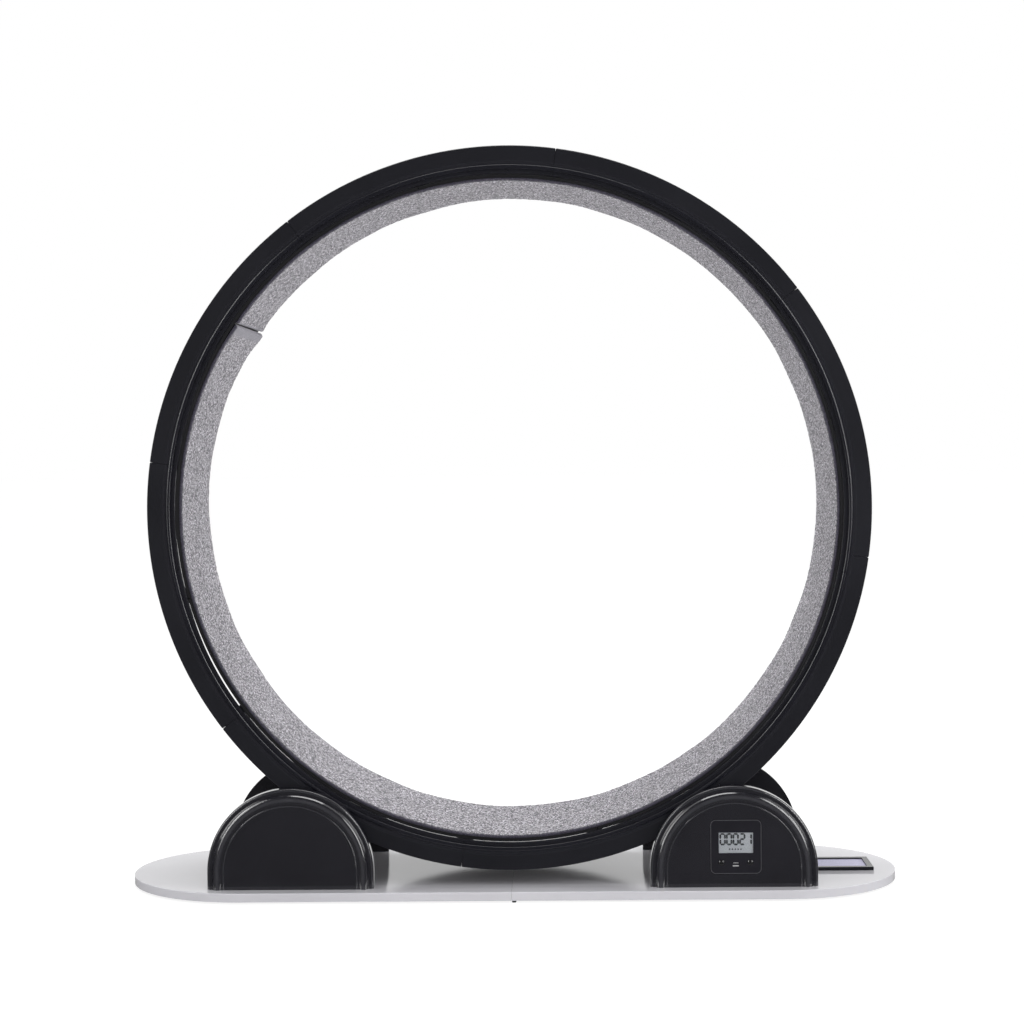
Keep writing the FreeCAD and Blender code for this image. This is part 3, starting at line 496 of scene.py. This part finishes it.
def strip_points():
    """The strip's points, pile side then underside at each step, and where each lies flat."""
    far_wave = ripples(**FAR_WAVES)
    near_wave = ripples(**NEAR_WAVES)
    edge_wave = ripples(**EDGE_WAVES)
    fuzz = random.Random(FUZZ_SEED)
    points, places = [], []
    for step in range(STRIP_STEPS + 1):
        along = step_place(step)
        angle = CARPET_SEAM + CARPET_SEAM_GAP / 2 + along * STRIP_SPAN
        heading = math.radians(angle)
        loose = max(0.0, FAR_RIPPLE * (1 + far_wave(angle)))
        snug = max(0.0, NEAR_RIPPLE * (1 + near_wave(angle)))
        wander = edge_wave(angle) * EDGE_WANDER
        tuft = [fuzz.uniform(-EDGE_FUZZ, EDGE_FUZZ) for edge in (0, 1)]
        end_gap = min(along, 1.0 - along) * STRIP_LENGTH
        fold = max(quarter_round(end_gap, FOLD_ROUND), FOLD_LEAST)
        for underside in (False, True):
            for row in range(STRIP_ROWS):
                across = row_place(row)
                edge_gap = min(across, 1 - across) * 2 * CARPET_EDGE
                lift = end_lift(along, across)
                top = CARPET_TOP - loose * across ** 1.6 - snug * (1 - across) - lift
                radius = under = CARPET_UNDER - lift * UNDERSIDE_FOLLOWS
                if not underside:
                    full = under - top + tuft[across > 0.5] * math.exp(-edge_gap / FUZZ_REACH)
                    shoulder = quarter_round(edge_gap, EDGE_ROUND)
                    radius -= full * (EDGE_THICKNESS + (1 - EDGE_THICKNESS) * shoulder) * fold
                y = (2 * across - 1) * (CARPET_EDGE - wander)
                points.append((math.cos(heading) * radius, y,
                               WHEEL_CENTRE.z + math.sin(heading) * radius))
                places.append((along * STRIP_LENGTH, y))
    return points, places


def strip_faces():
    """The strip's faces, and which of them show the backing: the underside and long edges."""
    stride = 2 * STRIP_ROWS
    faces, backed = [], []
    for step in range(STRIP_STEPS):
        here, there = step * stride, (step + 1) * stride
        for row in range(STRIP_ROWS - 1):
            faces.append((here + row, here + row + 1, there + row + 1, there + row))
            under_here, under_there = here + STRIP_ROWS + row, there + STRIP_ROWS + row
            backed.append(len(faces))
            faces.append((under_here, under_there, under_there + 1, under_here + 1))
        for row, flip in ((0, False), (STRIP_ROWS - 1, True)):
            edge = (here + row, there + row, there + STRIP_ROWS + row, here + STRIP_ROWS + row)
            backed.append(len(faces))
            faces.append(edge[::-1] if flip else edge)
    for step, flip in ((0, False), (STRIP_STEPS, True)):
        for row in range(STRIP_ROWS - 1):
            pile = step * stride + row
            end = (pile, pile + STRIP_ROWS, pile + STRIP_ROWS + 1, pile + 1)
            faces.append(end[::-1] if flip else end)
    return faces, backed


def carpet_strip():
    """The running surface as laid: a pile strip that ripples off the track towards its back
    edge, with its two folded ends butted together and lifted."""
    points, places = strip_points()
    faces, backed = strip_faces()
    carpet = new_piece("carpet_strip", points, faces, "wheel",
                       [heather_pile(), carpet_backing()], smooth=True)
    layer = carpet.data.uv_layers.new(name="strip")
    for loop in carpet.data.loops:
        layer.data[loop.index].uv = places[loop.vertex_index]
    for face in backed:
        carpet.data.polygons[face].material_index = 1
    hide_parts("running_carpet")


# ---------------------------------------------------------------- prints on the counter


def add_plate(points, faces, outline, front):
    """Add a thin plate standing in the XZ plane, from its outline and where its front is."""
    base, count = len(points), len(outline)
    points += [(x, front, z) for x, z in outline]
    points += [(x, front + PRINT_DEPTH, z) for x, z in outline]
    faces.append(tuple(range(base, base + count)))
    faces.append(tuple(reversed(range(base + count, base + 2 * count))))
    for index in range(count):
        here, there = base + index, base + (index + 1) % count
        faces.append((there, here, here + count, there + count))


def bar_outline(start, end, bar):
    """A display bar with pointed ends, from one joint to another."""
    direction = (end - start).normalized()
    across = Vector((-direction.y, direction.x)) * bar / 2
    gap = direction * 0.2 * MM
    tip = direction * bar / 2
    corners = [start + gap, start + gap + tip + across, end - gap - tip + across,
               end - gap, end - gap - tip - across, start + gap + tip - across]
    return [tuple(corner) for corner in corners]


def counter_digits():
    """Five seven-segment digits on the display, as dark crystal bars, over five plain dashes."""
    lit = {"0": "abcdef", "1": "bc", "2": "abged"}
    low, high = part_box("counter_display")
    left, top = low.x + 2.2 * MM, high.z - 2.0 * MM
    wide, tall, pitch, bar = 6.2 * MM, 14.4 * MM, 9.0 * MM, 2.6 * MM
    middle, bottom = top - tall / 2, top - tall
    lines = []
    for place, digit in enumerate("00021"):
        x = left + place * pitch
        right = x + wide
        ends = {"a": (x, top, right, top), "b": (right, top, right, middle),
                "c": (right, middle, right, bottom), "d": (x, bottom, right, bottom),
                "e": (x, middle, x, bottom), "f": (x, top, x, middle),
                "g": (x, middle, right, middle)}
        lines += [ends[name] for name in lit[digit]]
    dash_left, dash_pitch, dash_wide = left + 11.0 * MM, 3.9 * MM, 3.2 * MM
    dash_height = low.z + 5.2 * MM
    for index in range(5):
        x = dash_left + index * dash_pitch
        lines.append((x, dash_height, x + dash_wide, dash_height))
    points, faces = [], []
    for x0, z0, x1, z1 in lines:
        outline = bar_outline(Vector((x0, z0)), Vector((x1, z1)), bar)
        add_plate(points, faces, outline, low.y - CRYSTAL_PROUD)
    new_piece("counter_digits", points, faces, "base",
              [plain_ink("crystal_dark", (0.008, 0.010, 0.016), 0.4)])


def rounded_outline(centre_x, centre_z, width, height, corner, steps=8):
    points = []
    for quarter, (side_x, side_z) in enumerate(((1, 1), (-1, 1), (-1, -1), (1, -1))):
        for step in range(steps + 1):
            angle = math.radians(90 * quarter + 90 * step / steps)
            points.append((centre_x + side_x * (width / 2 - corner) + corner * math.cos(angle),
                           centre_z + side_z * (height / 2 - corner) + corner * math.sin(angle)))
    return points


def counter_border():
    """A fine grey line round the counter's face, a thin plate just proud of the case."""
    low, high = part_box("counter_case")
    centre_x, centre_z = (low.x + high.x) / 2, (low.z + high.z) / 2
    width, height = high.x - low.x - 0.5 * MM, high.z - low.z - 0.5 * MM
    line = 0.95 * MM
    outer = rounded_outline(centre_x, centre_z, width, height, 7.2 * MM)
    inner = rounded_outline(centre_x, centre_z, width - 2 * line, height - 2 * line, 6.3 * MM)
    count = len(outer)
    front, back = low.y - PRINT_PROUD, low.y + 0.05 * MM
    points = [(x, y, z) for y in (front, back) for outline in (outer, inner) for x, z in outline]
    faces = []
    for here in range(count):
        there = (here + 1) % count
        faces.append((here, there, there + count, here + count))
        faces.append((there, here, here + 2 * count, there + 2 * count))
        faces.append((here + count, there + count, there + 3 * count, here + 3 * count))
    new_piece("counter_border", points, faces, "base",
              [plain_ink("border_grey", (0.062, 0.062, 0.07), 0.4)])


def button_mark():
    """A plain pale bar between the buttons, with a finer one over it."""
    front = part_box("counter_case")[0].y - PRINT_PROUD
    middle = COUNTER_X - 0.4 * MM
    points, faces = [], []
    for z, width, height in ((29.6 * MM, 8.6 * MM, 1.7 * MM), (33.6 * MM, 7.4 * MM, 0.8 * MM)):
        outline = rounded_outline(middle, BOARD_TOP + z, width, height, height * 0.45, steps=3)
        add_plate(points, faces, outline, front)
    new_piece("button_mark", points, faces, "base",
              [plain_ink("mark_pale", (0.42, 0.42, 0.43), 0.5)])


# ---------------------------------------------------------------- dressing the solid parts


def dress(names, finish):
    """Give parts one finish all over."""
    for name in names:
        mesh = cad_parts[name].data
        mesh.materials.clear()
        mesh.materials.append(finish)
        for face in mesh.polygons:
            face.material_index = 0


def named(*starts):
    return [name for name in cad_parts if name.startswith(starts)]


def dress_all():
    dress(named("front_rim", "rear_rim"), rim_black())
    dress(named("track_panel", "rim_joiners"),
          moulded_black("track_matt_black", (0.006, 0.006, 0.008), 0.55, 0.00005, 0.25))
    dress(named("roller_cover"), cover_black())
    dress(named("roller_mount"),
          moulded_black("mount_black", (0.0115, 0.0112, 0.0150), 0.25, 0.00001, 0.45))
    dress(["counter_case"],
          moulded_black("counter_black", (0.0120, 0.0115, 0.0160), 0.24, 0.00001, 0.42))
    dress(["left_button", "right_button"],
          moulded_black("button_black", (0.008, 0.008, 0.009), 0.12, 0.00001, 0.5))
    dress(["tray_frame"],
          moulded_black("tray_black", (0.006, 0.006, 0.010), 0.2, 0.00001, 0.35))
    dress(["tray_liner"],
          soft_solid("liner_lavender_foam", (0.62, 0.60, 0.80), 0.5, 1200.0, 0.0001))
    dress(named("base_board"), board_white())
    dress(["base_feet"], soft_solid("foot_rubber", (0.02, 0.02, 0.022), 0.7, 1600.0, 0.0001))
    dress(named("roller_front", "roller_rear"),
          soft_solid("roller_tread", (0.03, 0.03, 0.033), 0.5, 1400.0, 0.00008))
    dress(["guide_washers"],
          soft_solid("washer_nylon", (0.60, 0.60, 0.57), 0.45, 900.0, 0.00003))
    dress(["axle_bolts", "axle_nuts", "axle_spacers", "track_screws", "mount_screws",
           "joining_screws"], brushed_metal("zinc_plate", (0.56, 0.57, 0.60), 0.3))
    dress(["roller_bearings", "joining_plate"],
          brushed_metal("ground_steel", (0.50, 0.50, 0.52), 0.22))
    dress(["counter_magnet"], brushed_metal("nickel_plate", (0.66, 0.64, 0.60), 0.15))
    dress(["counter_battery"], brushed_metal("coin_steel", (0.62, 0.62, 0.63), 0.25))
    dress(["counter_display"], display_grey())
    dress(["counter_window"], clear_window())
    dress(["counter_board"], circuit_green())
    dress(["speed_sensor"],
          soft_solid("sensor_black", (0.015, 0.015, 0.015), 0.4, 1500.0, 0.00003))


# ---------------------------------------------------------------- room, lamps and camera


def studio_floor():
    """A pale floor that stays white to the camera, with a trace of the object's shadow. In
    reflections it is white behind the object and dark in front of it."""
    reach = 30.0
    mesh = bpy.data.meshes.new("floor")
    mesh.from_pydata([(-reach, -reach, 0), (reach, -reach, 0), (reach, reach, 0),
                      (-reach, reach, 0)], [], [(0, 1, 2, 3)])
    floor = bpy.data.objects.new("floor", mesh)
    bpy.context.scene.collection.objects.link(floor)
    finish = Finish("floor_white")
    seen, glossy = finish.rays("Is Camera Ray", "Is Glossy Ray")
    behind = finish.parts_of(finish.place())[1].above(-0.3, 0.6)
    bright = finish.blend(behind, (FLOOR_IN_FRONT,) * 3, (1.0, 1.0, 1.0))
    bright = finish.blend(seen, bright, (FLOOR_SEEN,) * 3)
    matt = finish.node("BsdfDiffuse", {}, {"Color": (0.8, 0.8, 0.8)})
    glow = finish.node("Emission", {}, {"Color": bright, "Strength": 1.0})
    both = finish.node("MixShader", {}, {0: seen * 0.7 + glossy, 1: matt, 2: glow})
    finish.node("OutputMaterial", {}, {"Surface": both})
    mesh.materials.append(finish.owner)


def studio_air():
    """White all round for the camera; softer, and dim on the camera's side, for gloss."""
    world = bpy.data.worlds.new("studio")
    bpy.context.scene.world = world
    finish = Finish("studio", world)
    seen, clear, glossy = finish.rays("Is Camera Ray", "Is Transmission Ray", "Is Glossy Ray")
    heading = finish.parts_of(finish.node("TexCoord", out="Generated"))
    behind = heading[1].above(-0.45, 0.25)
    gloss = AIR_IN_FRONT + behind * (1.0 - AIR_IN_FRONT)
    plain = 1.0 - seen - clear - glossy
    strength = seen + clear + glossy * gloss + plain * AIR_LIGHT
    air = finish.node("Background", {}, {"Color": (1.0, 1.0, 1.0), "Strength": strength})
    finish.node("OutputWorld", {}, {"Surface": air})


def lamp(name, place, aim_height, width, height, power, on_matt=True, on_gloss=True):
    """A soft box that faces the object's middle at a height."""
    data = bpy.data.lights.new(name, "AREA")
    data.shape = "RECTANGLE"
    data.size = width
    data.size_y = height
    data.energy = power
    aim = Vector((0.0, 0.0, aim_height)) - Vector(place)
    item = bpy.data.objects.new(name, data)
    item.location = place
    item.rotation_euler = aim.to_track_quat("-Z", "Y").to_euler()
    item.visible_camera = False
    item.visible_diffuse = on_matt
    item.visible_glossy = on_gloss
    bpy.context.scene.collection.objects.link(item)


def studio_lamps():
    lamp("lamp_above", (0.0, 0.5, 3.6), 0.4, 2.6, 2.2, 81.0)
    lamp("lamp_left", (-3.0, -1.8, 1.8), 0.4, 0.35, 2.4, 38.0, on_matt=False)
    lamp("lamp_right", (3.0, -1.6, 1.6), 0.4, 0.35, 2.4, 30.0)
    lamp("fill_front", (0.0, -4.0, 0.9), 0.3, 3.0, 1.6, 27.0, on_gloss=False)
    lamp("strip_left", (-2.2, -2.0, 1.3), 0.3, 0.6, 2.6, 26.0, on_matt=False)
    lamp("strip_right", (2.2, -2.0, 1.3), 0.3, 0.6, 2.6, 40.0, on_matt=False)


def photo_camera():
    """The photograph's camera: place, aim, a slight roll and the lens."""
    level_reach = math.cos(CAMERA_PITCH)
    forward = Vector((-math.sin(CAMERA_YAW) * level_reach, math.cos(CAMERA_YAW) * level_reach,
                      -math.sin(CAMERA_PITCH)))
    level = forward.cross(Vector((0, 0, 1))).normalized()
    upright = level.cross(forward)
    right = math.cos(CAMERA_ROLL) * level + math.sin(CAMERA_ROLL) * upright
    above = -math.sin(CAMERA_ROLL) * level + math.cos(CAMERA_ROLL) * upright
    data = bpy.data.cameras.new("camera")
    data.sensor_width = SENSOR_WIDTH
    data.lens = LENS_PIXELS / PHOTO_PIXELS * SENSOR_WIDTH
    data.clip_start = 0.05
    data.clip_end = 100.0
    camera = bpy.data.objects.new("camera", data)
    axes = Matrix((right, above, -forward)).transposed()
    camera.matrix_world = Matrix.Translation(CAMERA_PLACE) @ axes.to_4x4()
    bpy.context.scene.collection.objects.link(camera)
    bpy.context.scene.camera = camera


photo_camera()
dress_all()
carpet_strip()
counter_digits()
counter_border()
button_mark()
studio_floor()
studio_air()
studio_lamps()
bpy.context.scene.view_settings.view_transform = "Standard"
